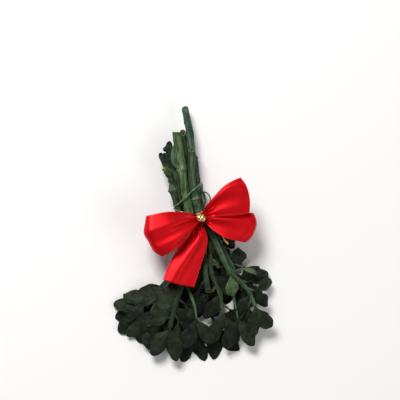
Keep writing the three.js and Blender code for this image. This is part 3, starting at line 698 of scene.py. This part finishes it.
# Lit and shaded copies of one leaf colour: the first for the leaves on top, in the light; green and
# dark are painted shade for the leaves deeper in the bunch
LEAVES = {
    name: leaf_material(f"leaf_{name}", shade(*dark), shade(*light), shade(*fleck), flecks_from)
    for name, dark, light, fleck, flecks_from in (
        ("in_light", (54, 76, 50), (82, 106, 72), (150, 152, 78), 0.61),
        ("green", (22, 29, 20), (38, 48, 32), (78, 86, 48), 0.67),
        ("dark", (16, 21, 14), (28, 36, 24), (58, 66, 38), 0.71),
    )
}
SATIN = satin_material()
GOLD_BEAD = gold_material("gold_plate", 0.13, (1.0, 0.74, 0.3, 1))
GOLD_WIRE = gold_material("gold_wire", 0.36, (0.92, 0.5, 0.17, 1))
ENAMEL = enamel_material()

# ---- stems ----

STEM_SIDES = 28
RING_STEP = 0.55  # millimetres between a stem's rings
GIRTH = 2.2  # radius of the round on which the bark's grain is laid out
COLLAR = 0.5  # how much thicker a twig is where it leaves its stem
COLLAR_SHARE = 0.15  # share of a twig's length that its collar takes up
# stems whose cut ends take the lit copy; the other stems' ends take the painted-shade copy
PALE_CUTS = ("thick", "front", "long", "broken")

# How the bark departs from a plain tube: heights as shares of its radius; then the width in mm,
# the stretch along the stem and the shift of each noise
RIB_HEIGHT, LUMP_HEIGHT, LINE_HEIGHT = 0.05, 0.045, 0.016
RIBS = (1.2, 0.1, 0)
LUMPS = (2.4, 0.5, 5)
LINES = (0.5, 0.35, 3)
OVAL = 0.06
OVAL_TURN = 0.06  # radians that the oval turns in a millimetre
WANDER = 0.25  # millimetres that a stem strays from its route
WANDER_LENGTH = 11  # millimetres between one stray bend and the next

# Lengths along a stem, in millimetres
JOINT_SPAN = 1.9
SCAR_SPAN = 0.8  # the scars of the two leaves that grew at a joint
RIDGE_SPAN = 0.35  # the ridge round a joint's middle
GROOVE_SPAN = 0.3
GROOVE_AWAY = 0.9  # the grooves beside that ridge
SCAR_HEIGHT, RIDGE_HEIGHT = 0.5, 0.3  # as shares of the joint's swelling
BUD_SPAN = 1.2
ROUNDING_SPAN = 0.8
CUT_RAGGED = 0.12

# A cut face from its bark to its pith: (share of the rim's radius, share of the hollow's depth)
CUT_PROFILE = ((1, 0), (0.94, -0.1), (0.86, 0.05), (0.72, 0.3), (0.5, 0.7), (0.3, 0.95), (0.12, 1))
WOOD_RAGGED, WOOD_GRAIN = 0.14, 0.7  # height and width of the wood's unevenness, in mm
WOOD_FROM = 0.9  # the wood lies inside this share of the rim


def taper(radius, t, tip_share=TIP_SHARE):
    share = np.maximum(0, t - TAPER_START) / (1 - TAPER_START)
    return radius * (1 + (tip_share - 1) * share)


def tube_frame(centres):
    along = unit(np.gradient(centres, axis=0))
    side = unit(np.cross(along, (0, 0, 1)))
    return along, side, np.cross(side, along)


def stem_tube(shape, route, radius_of, seed, joints=(), buds=(), ends=(PLAIN_END, PLAIN_END)):
    """One woody stem: out of round, ribbed lengthwise, swollen at its joints, cut at both ends."""
    length = length_of(route, 200)
    rings = max(8, int(length / RING_STEP))
    t = np.linspace(0, 1, rings)[:, None]
    distance = t * length
    centres = route_at(route, t[:, 0])
    across, upwards = (bumps(centres, WANDER_LENGTH, seed + shift) for shift in (0, 7))
    centres = centres + WANDER * joined(across, 0, upwards)
    along, side, over = tube_frame(centres)
    angle = circle(STEM_SIDES)[None, :]
    grain = joined(GIRTH * np.cos(angle), GIRTH * np.sin(angle), distance)

    def relief(width, stretch, shift):
        return bumps(grain * [1, 1, stretch], width, seed + shift)

    ribs = RIB_HEIGHT * (1 - 2 * np.abs(relief(*RIBS)))
    lumps = LUMP_HEIGHT * relief(*LUMPS)
    lines = LINE_HEIGHT * relief(*LINES)
    oval = OVAL * np.cos(2 * (angle - seed) + OVAL_TURN * distance)
    radius = radius_of(t) * (1 + ribs + lumps + lines + oval)
    spans = len(route) - 1
    for at, swell in joints:
        away = distance - at / spans * length
        scars = np.cos(angle - seed - at) ** 4 * bell(away, SCAR_SPAN)
        ridge = bell(away, RIDGE_SPAN) - 0.5 * bell(np.abs(away) - GROOVE_AWAY, GROOVE_SPAN)
        form = bell(away, JOINT_SPAN) + RIDGE_HEIGHT * ridge + SCAR_HEIGHT * scars
        radius = radius * (1 + swell * form)
    for at, degrees, height in buds:
        away = distance - at / spans * length
        facing = np.maximum(0, np.cos(angle - math.radians(degrees))) ** 5
        radius = radius + height * facing * bell(away, BUD_SPAN)
    outward = np.cos(angle)[..., None] * side[:, None, :] + np.sin(angle)[..., None] * over[:, None, :]
    outer = centres[:, None, :]
    near_end, far_end = (ends[0], distance, 1), (ends[1], length - distance, -1)
    for (to_left, to_top, rounded, _), from_end, inward in (near_end, far_end):
        radius = radius * (1 - rounded * bell(from_end, ROUNDING_SPAN))
        lean = to_left * np.cos(angle) + to_top * np.sin(angle) + math.hypot(to_left, to_top)
        ragged = CUT_RAGGED * bumps(grain[:1] * [1.5, 1.5, 0], 1, seed + inward)
        drop = radius_of(t).max() * lean + ragged
        pull = inward * drop * np.clip(1 - from_end / (2 * drop.max() + 1), 0, 1)
        outer = outer + pull[..., None] * along[:, None, :]
    outer = outer + outward * radius[..., None]
    shape.add(outer, flipped(tube_faces(rings, STEM_SIDES)), grain + [0, 0, 40 * seed])
    stem_end(shape, outer[0], -along[0], seed, ends[0][3], False)
    stem_end(shape, outer[-1], along[-1], seed + 1, ends[1][3], True)


def stem_end(shape, rim, outward, seed, depth, far):
    """A cut face: a thin bark rim, wood inside it and a middle that has sunk in."""
    middle = rim.mean(axis=0)
    rows = []
    for share, sink in CUT_PROFILE:
        ring = middle + (rim - middle) * share
        ragged = WOOD_RAGGED * bumps(ring, WOOD_GRAIN, seed)[:, None] if share < WOOD_FROM else 0
        rows.append(ring - outward * sink * depth + ragged * outward)
    faces = tube_faces(len(rows), len(rim))
    last = (len(rows) - 1) * len(rim)
    faces.append([last + i for i in range(len(rim))])
    if far:
        faces = flipped(faces)
    shares = np.array([share for share, _ in CUT_PROFILE])[:, None]
    turn = circle(len(rim))[None, :]
    shape.add(rows, faces, joined(shares, np.cos(turn), np.sin(turn)), 1)


def make_sprig(name, sprig, number):
    """A stem with its twigs and side shoots, each with a collar where it leaves the stem."""
    shape = Shape()
    seed = 3.1 * number + 1

    def stem_radius(t):
        return taper(sprig.radius, t, sprig.tip_share)

    ends = CUT_ENDS[name], FAR_ENDS.get(name, PLAIN_END)
    stem_tube(shape, sprig.route, stem_radius, seed, JOINTS[name], BUDS.get(name, []), ends)
    twigs = [(at, radius, points) for at, radius, points, _ in sprig.twigs]
    twigs += [(shoot[1], SHOOT_RADIUS, shoot_points(shoot)) for shoot in SHOOTS if shoot[0] == name]
    for order, (at, radius, points) in enumerate(twigs):
        start = point_on(sprig.route, at)

        def twig_radius(t, radius=radius):
            return taper(radius, t) * (1 + COLLAR * bell(t, COLLAR_SHARE))

        stem_tube(shape, [tuple(start), *points], twig_radius, seed + 11 * (order + 1))
    cut = PALE_CUT if name in PALE_CUTS else SHADED_CUT
    shape.build(f"{name}_stem", [bark_material(name), cut], f"stem_{name}")


# ---- leaves ----

LEAF_ROWS = 34
LEAF_COLUMNS = 17
PETIOLE_SHARE = 0.12  # half width of a blade's stalk, as a share of the blade's
LEAST_SHARE = 0.02
FOOT_POINTED, TIP_ROUNDED = 1.15, 0.65  # power of the oval's width, and how much less at the tip
# the leaves on top take the lit tone; all others take one of the painted-shade tones
LEAF_TONES = {"front_1": "in_light", "front_2": "in_light", "slim_2": "in_light"}

# Ranges that each leaf's form is drawn from, in their order
LEAF_DRAWS = {
    "bends": (0.8, 1.5),  # above 1 the blade stays straight at first and curls its tip
    "fullness": (1.1, 1.5),  # above 1 its widest part is nearer its tip
    "twist": (-24, 24),  # degrees about its own length
    "left_wave": (0, 6),  # radians that the waves of this edge are shifted
    "right_wave": (0, 6),
    "uneven": (-0.12, 0.12),  # how much wider one half is
    "crimp": (0.35, 0.8),  # millimetres that its edge goes up and down
    "crimps": (6, 11),  # radians of that wave along it
    "cup": (-0.15, 0.45),  # how far its sides hang, as a share of its half width
    "seed": (0, 50),
}
USUAL_FORM = {"crumple": 0.42, "thickness": 0.7}  # height of its creases and its thickness, in mm
OWN_FORMS = {  # what differs in the leaves that lie on top
    "front_1": {"fullness": 1.7, "crumple": 0.75},
    "front_2": {"bends": 3.2, "thickness": 0.55},
    "slim_2": {"thickness": 0.6},
}
EDGE_WAVES = ((0.07, 8, 1), (0.04, 19, 2))  # height, radians along the blade, share of its wave
CREASES = ((1, 4.2, 0), (0.3, 1.6, 9))  # share of the height, width in mm, shift of the noise
MIDRIB_DEPTH, MIDRIB_SPAN = 0.14, 0.4  # in mm
MIDRIB_UNDER = 0.4  # share of its depth that shows underneath
EDGE_THINNING, TIP_THINNING = 0.6, 0.35  # share of the thickness that is lost there
STALK_THICKENING = 0.25  # in mm, on each side
# Shares of a blade's length over which its parts come up or fade
BODY_RISE, TIP_FADE = (0.1, 0.35), (0.2, 1)
MIDRIB_RISE, MIDRIB_FADE = (0.05, 0.2), (0.7, 0.95)
STALK_FADE, THICKENING_FADE = (0.3, 0.5), (0.1, 0.25)
LEAF_FLOOR = 0.35  # lowest height of a blade's upper side over the floor


def drawn(draw, ranges):
    """One value from each range, drawn in their order."""
    return {key: draw.uniform(low, high) for key, (low, high) in ranges.items()}


def leaf_frame(heading, pitch, roll):
    h, p, r = (math.radians(a) for a in (heading, pitch, roll))
    level = np.array([math.cos(h), math.sin(h), 0])
    along = np.array([math.sin(h) * math.cos(p), -math.cos(h) * math.cos(p), math.sin(p)])
    steep = np.cross(along, level)
    across = level * math.cos(r) + steep * math.sin(r)
    return along, across, steep * math.cos(r) - level * math.sin(r)


def blade_share(s, fullness):
    """Half width along a blade, 0 to 1: a wedge at its foot, widest past its middle, a round tip."""
    oval = np.sin(np.pi * np.clip(s, 0, 1) ** fullness) ** (FOOT_POINTED - TIP_ROUNDED * s)
    foot = PETIOLE_SHARE * (1 - smoothstep(*STALK_FADE, s))
    return np.maximum(np.maximum(oval, foot), LEAST_SHARE)


def make_leaf(name, foot, leaf, tone, own=None, node=None):
    """A thick leathery blade that curls, twists and crinkles as a dried one does."""
    heading, pitch, roll, length, width, curl = leaf
    form = drawn(random.Random(name), LEAF_DRAWS)
    form = SimpleNamespace(**{**form, **USUAL_FORM, **(own or {})})
    along, across, normal = leaf_frame(heading, pitch, roll)
    s = (1 - np.cos(np.linspace(0, np.pi, LEAF_ROWS))) / 2
    q = np.sin(np.linspace(-np.pi / 2, np.pi / 2, LEAF_COLUMNS))
    s, q = np.meshgrid(s, q, indexing="ij")
    turned = (math.radians(curl) * s**form.bends)[..., None]
    heading_on = along * np.cos(turned) - normal * np.sin(turned)
    face = normal * np.cos(turned) + along * np.sin(turned)
    steps = (heading_on[1:] + heading_on[:-1]) / 2 * (length * np.diff(s, axis=0))[..., None]
    spine = foot + np.concatenate([np.zeros((1, *steps.shape[1:])), np.cumsum(steps, axis=0)])
    twist = math.radians(form.twist) * s[..., None]
    side = across * np.cos(twist) + face * np.sin(twist)
    face = face * np.cos(twist) - across * np.sin(twist)
    wave = np.where(q < 0, form.left_wave, form.right_wave)
    waves = sum(height * np.sin(turns * s + share * wave) for height, turns, share in EDGE_WAVES)
    half = width / 2 * blade_share(s, form.fullness) * (1 + form.uneven * np.sign(q))
    half = half * (1 + np.abs(q) * waves)
    body = smoothstep(*BODY_RISE, s)
    crimp = form.crimp * np.sin(form.crimps * s + wave) * q**2 * body
    cup = form.cup * half * q**2
    flat = spine - side * (q * half)[..., None] + face * (crimp - cup)[..., None]
    crumple = sum(share * bumps(flat, size, form.seed + shift) for share, size, shift in CREASES)
    flat = flat + face * (form.crumple * crumple * body)[..., None]
    rib = -MIDRIB_DEPTH * bell(q * half, MIDRIB_SPAN)
    rib = rib * smoothstep(*MIDRIB_RISE, s) * (1 - smoothstep(*MIDRIB_FADE, s))
    thick = form.thickness / 2 * (1 - EDGE_THINNING * q**2)
    thick = thick * (1 - TIP_THINNING * smoothstep(*TIP_FADE, s))
    thick = thick + STALK_THICKENING * (1 - smoothstep(*THICKENING_FADE, s))
    top = flat + face * (thick + rib)[..., None]
    under = flat - face * (thick - MIDRIB_UNDER * rib)[..., None]
    top[..., 2] = np.maximum(top[..., 2], LEAF_FLOOR)
    under[..., 2] = np.maximum(under[..., 2], 0)
    both = np.concatenate([top, under[:, ::-1]], axis=1)
    across = (np.concatenate([q, q[:, ::-1]], axis=1) + 1) / 2
    grain = joined(across, np.concatenate([s, s], axis=1), 0)
    shape = Shape()
    shape.add(both, closed_faces(LEAF_ROWS, 2 * LEAF_COLUMNS), grain)
    shape.build(name, [LEAVES[tone]], node)


def make_leaves():
    for name, sprig in SPRIGS.items():
        count = 0
        carriers = [(sprig.route, sprig.leaves)]
        for at, _, points, leaves in sprig.twigs:
            carriers.append(([tuple(point_on(sprig.route, at)), *points], leaves))
        for carrier, leaves in carriers:
            for at, *leaf in leaves:
                count += 1
                label = f"{name}_{count}"
                foot = point_on(carrier, at)
                # painted shade: leaves below the top take a shaded tone, the darkest on the back sprigs
                # and on every third leaf
                usual = "dark" if count % 3 == 0 or name.startswith("back") else "green"
                tone = LEAF_TONES.get(label, usual)
                own = OWN_FORMS.get(label)
                make_leaf(f"blade_{label}", foot, leaf, tone, own, f"leaf_{label}")


# ---- side shoots ----


def shoot_points(shoot):
    """The two points after a shoot's start: it leaves its stem, then droops a little."""
    name, at, heading, pitch, reach, _ = shoot
    start = point_on(SPRIGS[name].route, at)
    along, _, _ = leaf_frame(heading, pitch, 0)
    return [tuple(start + along * reach * 0.5 + [0, 0, SHOOT_RISE]), tuple(start + along * reach)]


def make_shoot_leaves():
    draw = random.Random(SHOOT_SEED)
    for number, shoot in enumerate(SHOOTS, 1):
        _, _, heading, pitch, _, length = shoot
        tip = shoot_points(shoot)[-1]
        for hand, side in (("left", -1), ("right", 1)):
            own = SimpleNamespace(**drawn(draw, SHOOT_DRAWS))
            size = length * own.size
            turn = heading + side * SHOOT_SPREAD * own.spread
            leaf = (turn, pitch + own.lean, own.roll, size, size * own.width, own.curl)
            make_leaf(f"shoot_{number}_leaf_{hand}", tip, leaf, draw.choice(SHOOT_TONES))


# ---- ribbon ----

RIBBON_THICKNESS = 0.22
HEM = 0.05  # millimetres that each side of the woven edge is thicker
RIBBON_COLUMNS = 61
LOOP_ROWS = 130
TAIL_ROWS = 64

# The form of each run, measured from the knot outwards:
# folds: a crest starts at one place across the ribbon and ends at another (-1 upper edge, 1 lower
#   edge); then its half width, its height in mm and the share of the height left at the far end
# lift: millimetres that the middle rises above the edges, near the knot and far from it
# reach: millimetres that the far end bulges outwards, and how flat across the bulge is
# crown: millimetres that a loop swells before it turns over, and the share of its run where
RUN_FORMS = {
    "tail_right": {
        "folds": [(-0.9, -0.5, 0.4, 2.6, 0.35), (0.5, 0.6, 0.3, 0.4, 0.4)],
        "lift": (0.0, 0.9), "reach": (2.4, 2),
    },
    "loop_left": {
        "folds": [(-0.4, -0.3, 0.34, 2.4, 0.6), (0.5, 0.66, 0.34, 2.8, 0.4)],
        "lift": (1.0, 0.8), "reach": (3.0, 2), "crown": (0.7, 0.4),
    },
    "loop_right": {
        "folds": [(-0.5, -0.4, 0.42, 1.7, 0.2)],
        "lift": (0.6, 1.0), "reach": (2.4, 2.5), "crown": (0.7, 0.39),
    },
    "tail_low": {
        "folds": [(0.5, -0.45, 0.5, 2.8, 0.75), (-0.9, -1.3, 0.25, 0.5, 0.2)],
        "lift": (0.0, 0.6), "reach": (0.6, 2),
    },
}
UNDER_FOLDS = [(-0.3, -0.3, 0.35, 1.2, 0.6), (0.5, 0.5, 0.3, 1.0, 0.6)]  # a loop's hidden half
TURN = (0.46, 0.62)  # over these shares of a loop's run its folds become its hidden half's
CROWN_SPAN = 0.07
FOLD_RISE = (0.06, 0.2)  # a fold comes up over these shares of the way out
FOLD_FADE = (0.25, 1)  # and sinks to what is left of it over these
GATHERS = 4  # small folds across the ribbon at the knot
GATHERS_FADE = (0.06, 0.35)
CLOTH_SHARE = 0.78  # how much of the cloth's width the gathers take up


def fold_height(folds, out, q):
    total = 0
    for start, end, width, height, left in folds:
        crest = start + (end - start) * out
        along = smoothstep(*FOLD_RISE, out) * (1 - (1 - left) * smoothstep(*FOLD_FADE, out))
        total = total + height * along * bell(q - crest, width)
    return total


def knot_gathers(width, out, q):
    """Gathers deep enough to take up the cloth's spare width near the knot."""
    spare = np.sqrt(np.maximum(0, (CLOTH_SHARE * RIBBON_WIDTH) ** 2 - width**2))
    near_knot = 1 - smoothstep(*GATHERS_FADE, out)
    return spare / (4 * GATHERS) * near_knot * np.cos(np.pi * GATHERS * (q + 1))


def ribbon_rows(name):
    """The middle surface of one run of the ribbon, rows by columns, knot end first."""
    upper, lower = RIBBON_RUNS[name]
    form = RUN_FORMS[name]
    loop = name.startswith("loop")
    s = np.linspace(0, 1, LOOP_ROWS if loop else TAIL_ROWS)
    q = np.linspace(-1, 1, RIBBON_COLUMNS)[None, :]
    far = 0.5 if loop else 1.0
    outward = (route_at(upper, far) + route_at(lower, far)) * [1, 1, 0]
    outward = outward / np.linalg.norm(outward)
    top, low = route_at(upper, s), route_at(lower, s)
    share = ((q + 1) / 2)[..., None]
    sheet = top[:, None, :] * (1 - share) + low[:, None, :] * share
    normal = unit(np.cross(np.gradient(sheet, axis=1), np.gradient(sheet, axis=0)))
    if normal[: len(s) // 4, :, 2].mean() < 0:
        normal = -normal
    s = s[:, None]
    out = np.sin(np.pi * s) if loop else s
    lift_near, lift_far = form["lift"]
    lift = (lift_near + (lift_far - lift_near) * s) * out * (1 - q**2)
    folds = fold_height(form["folds"], out, q)
    if loop:
        swell, crown_at = form["crown"]
        folds = folds + swell * bell(s - crown_at, CROWN_SPAN) * (1 - q**4)
        turned = smoothstep(*TURN, s)
        folds = folds * (1 - turned) + fold_height(UNDER_FOLDS, out, q) * turned
    width = np.linalg.norm(low - top, axis=1)[:, None]
    lift = lift + folds + knot_gathers(width, out, q)
    bulge, flatness = form["reach"]
    reach = bulge * out**2 * (1 - np.abs(q) ** flatness)
    return sheet + normal * lift[..., None] + outward * reach[..., None]


def make_ribbon():
    first, *others = (ribbon_rows(name) for name in RIBBON_RUNS)
    middle = np.concatenate([first[::-1], *others], axis=0)
    rows, columns = middle.shape[:2]
    normal = unit(np.cross(np.gradient(middle, axis=1), np.gradient(middle, axis=0)))
    steps = np.linalg.norm(np.diff(middle[:, columns // 2], axis=0), axis=1)
    distance = np.concatenate([[0], np.cumsum(steps)])
    q = np.linspace(-1, 1, columns)
    hem = HEM * smoothstep(1 - 2 * SELVEDGE, 1 - SELVEDGE, np.abs(q))
    half = (RIBBON_THICKNESS / 2 + hem)[None, :, None] * normal
    both = np.concatenate([middle + half, (middle - half)[:, ::-1]], axis=1)
    across = (q + 1) / 2 * RIBBON_WIDTH
    across = np.concatenate([across, across[::-1]])[None, :]
    shape = Shape()
    shape.add(both, closed_faces(rows, 2 * columns), joined(across, distance[:, None], 0))
    piece = shape.build("satin_ribbon", [SATIN], "ribbon_bow")


# ---- wires and beads ----

WIRE_SIDES = 14
WIRE_STEP = 0.35  # millimetres between a wire's rings
WIRE_END = (0.4, 0.6)  # length and width of a wire's rounded end, in radii
WIRE_ASIDE = (0.3, 0.2, 1)  # any direction that no wire starts in
TIE_FLAT = 0.8  # how much wider the beaten end of the tie wire is
FLAT_THINNING = 0.3  # and how much of that it is thinner
FLAT_LENGTH = 4.0  # millimetres of it that are beaten flat

BEAD_RADIUS = 2.15
BEAD_CENTRE = 0.9  # middle of a bead's ball, from the plane where the two beads meet
BEAD_GAP = 0.05  # end of that ball, from the same plane
BORE_RADIUS = TIE_RADIUS + 0.3
BORE_EDGE = (0.95, 0.94)  # how far the bore's rounded edge lies in along it and across it
BEAD_ROWS = 40
BEAD_COLUMNS = 56
FLAT_ROWS = 6
FLAT_EDGE = 0.97  # radius of the face where the beads meet, inside its rounded rim
FLAT_PLACE = 0.5  # where that face lies, as a share of BEAD_GAP


def make_wire(name, route, radius, material, node, flattened=0.0):
    """A round wire; flattened widens its first few millimetres into a strip."""
    rings = int(length_of(route, 600) / WIRE_STEP)
    centres = route_at(route, np.linspace(0, 1, rings))
    along = unit(np.gradient(centres, axis=0))
    side = np.cross(along[0], WIRE_ASIDE)
    sides = []
    for direction in along:
        side = side - direction * side.dot(direction)
        side = side / np.linalg.norm(side)
        sides.append(side)
    sides = np.array(sides)
    over = np.cross(sides, along)
    angle = circle(WIRE_SIDES)
    start = np.exp(-((np.arange(rings) * WIRE_STEP / FLAT_LENGTH) ** 4))[:, None, None] * flattened
    wide = np.cos(angle)[None, :, None] * sides[:, None, :] * (1 + start)
    high = np.sin(angle)[None, :, None] * over[:, None, :] * (1 - FLAT_THINNING * start)
    ring = radius * (wide + high)
    end_length, end_width = WIRE_END
    first = centres[0] - along[0] * radius * end_length + ring[0] * end_width
    final = centres[-1] + along[-1] * radius * end_length + ring[-1] * end_width
    body = np.concatenate([first[None], centres[:, None, :] + ring, final[None]])
    shape = Shape()
    shape.add(body, flipped(closed_faces(len(body), WIRE_SIDES)))
    shape.build(name, [material], node)


def make_bead(name, side, node):
    """A ball with a bore along X, flattened where it meets the other bead."""
    start = math.asin(BORE_RADIUS / BEAD_RADIUS)
    angle = np.linspace(start, math.acos((BEAD_GAP - BEAD_CENTRE) / BEAD_RADIUS), BEAD_ROWS)
    out = BEAD_RADIUS * np.sin(angle)
    x = BEAD_CENTRE + BEAD_RADIUS * np.cos(angle)
    flat = np.linspace(FLAT_EDGE, BORE_RADIUS / out[-1], FLAT_ROWS) * out[-1]
    edge_along, edge_across = BORE_EDGE
    out = np.concatenate([[BORE_RADIUS * edge_across], out, flat])
    x = np.concatenate([[x[0] * edge_along], x, np.full(len(flat), x[-1] * FLAT_PLACE)])[:, None]
    turn = circle(BEAD_COLUMNS)[None]
    y, z = out[:, None] * np.cos(turn), out[:, None] * np.sin(turn) + BEAD_HEIGHT
    faces = tube_faces(len(out), BEAD_COLUMNS)
    last = (len(out) - 1) * BEAD_COLUMNS
    bore = [(i, (i + 1) % BEAD_COLUMNS) for i in range(BEAD_COLUMNS)]
    faces += [[j, i, last + i, last + j] for i, j in bore]
    if side > 0:
        faces = flipped(faces)
    shape = Shape()
    shape.add(joined(side * x, y, z), faces)
    shape.build(name, [GOLD_BEAD], node)


for number, (name, sprig) in enumerate(SPRIGS.items()):
    make_sprig(name, sprig, number)
make_leaves()
make_shoot_leaves()
make_ribbon()
make_wire("binding", BINDING_ROUTE, BINDING_RADIUS, ENAMEL, "binding_wire")
make_wire("tie", TIE_ROUTE, TIE_RADIUS, GOLD_WIRE, "tie_wire", TIE_FLAT)
make_bead("left_bead", -1, "bead_left")
make_bead("right_bead", 1, "bead_right")

# ---- floor and light ----

FLOOR_HALF = 1.5
FLOOR_TOOTH = 900
FLOOR_DEPTH = 0.1 * MM
# Soft lights: (place, size of the square, watts), in metres
LIGHTS = {
    "key": ((-0.62, 0.8, 1.25), 0.5, 24),
    "fill": ((0.9, -0.5, 1.1), 0.9, 4),
}
SKY_STRENGTH = 0.25


def make_floor():
    look = Look("paper", Roughness=0.9)
    tooth = look.noise(FLOOR_TOOTH, 2)
    normal = look.bump(tooth, 0.05, FLOOR_DEPTH)
    material = look.finish(Base_Color=shade(247, 246, 245), Normal=normal)
    mesh = bpy.data.meshes.new("floor")
    corners = [(-1, -1), (1, -1), (1, 1), (-1, 1)]
    mesh.from_pydata([(x * FLOOR_HALF, y * FLOOR_HALF, 0) for x, y in corners], [], [[0, 1, 2, 3]])
    mesh.materials.append(material)
    add_object("floor", mesh)


def area_light(name, stand, size, watts):
    data = bpy.data.lights.new(name, "AREA")
    data.size = size
    data.energy = watts
    light = add_object(name, data)
    light.location = stand
    aim = Vector(place([0, 0, 0])) - Vector(stand)
    light.rotation_euler = aim.to_track_quat("-Z", "Y").to_euler()


make_floor()
for name, light in LIGHTS.items():
    area_light(name, *light)
world = bpy.data.worlds.new("studio")
world.use_nodes = True
sky = world.node_tree.nodes["Background"]
sky.inputs["Color"].default_value = (1, 1, 1, 1)
sky.inputs["Strength"].default_value = SKY_STRENGTH
scene.world = world
scene.view_settings.view_transform = "Standard"
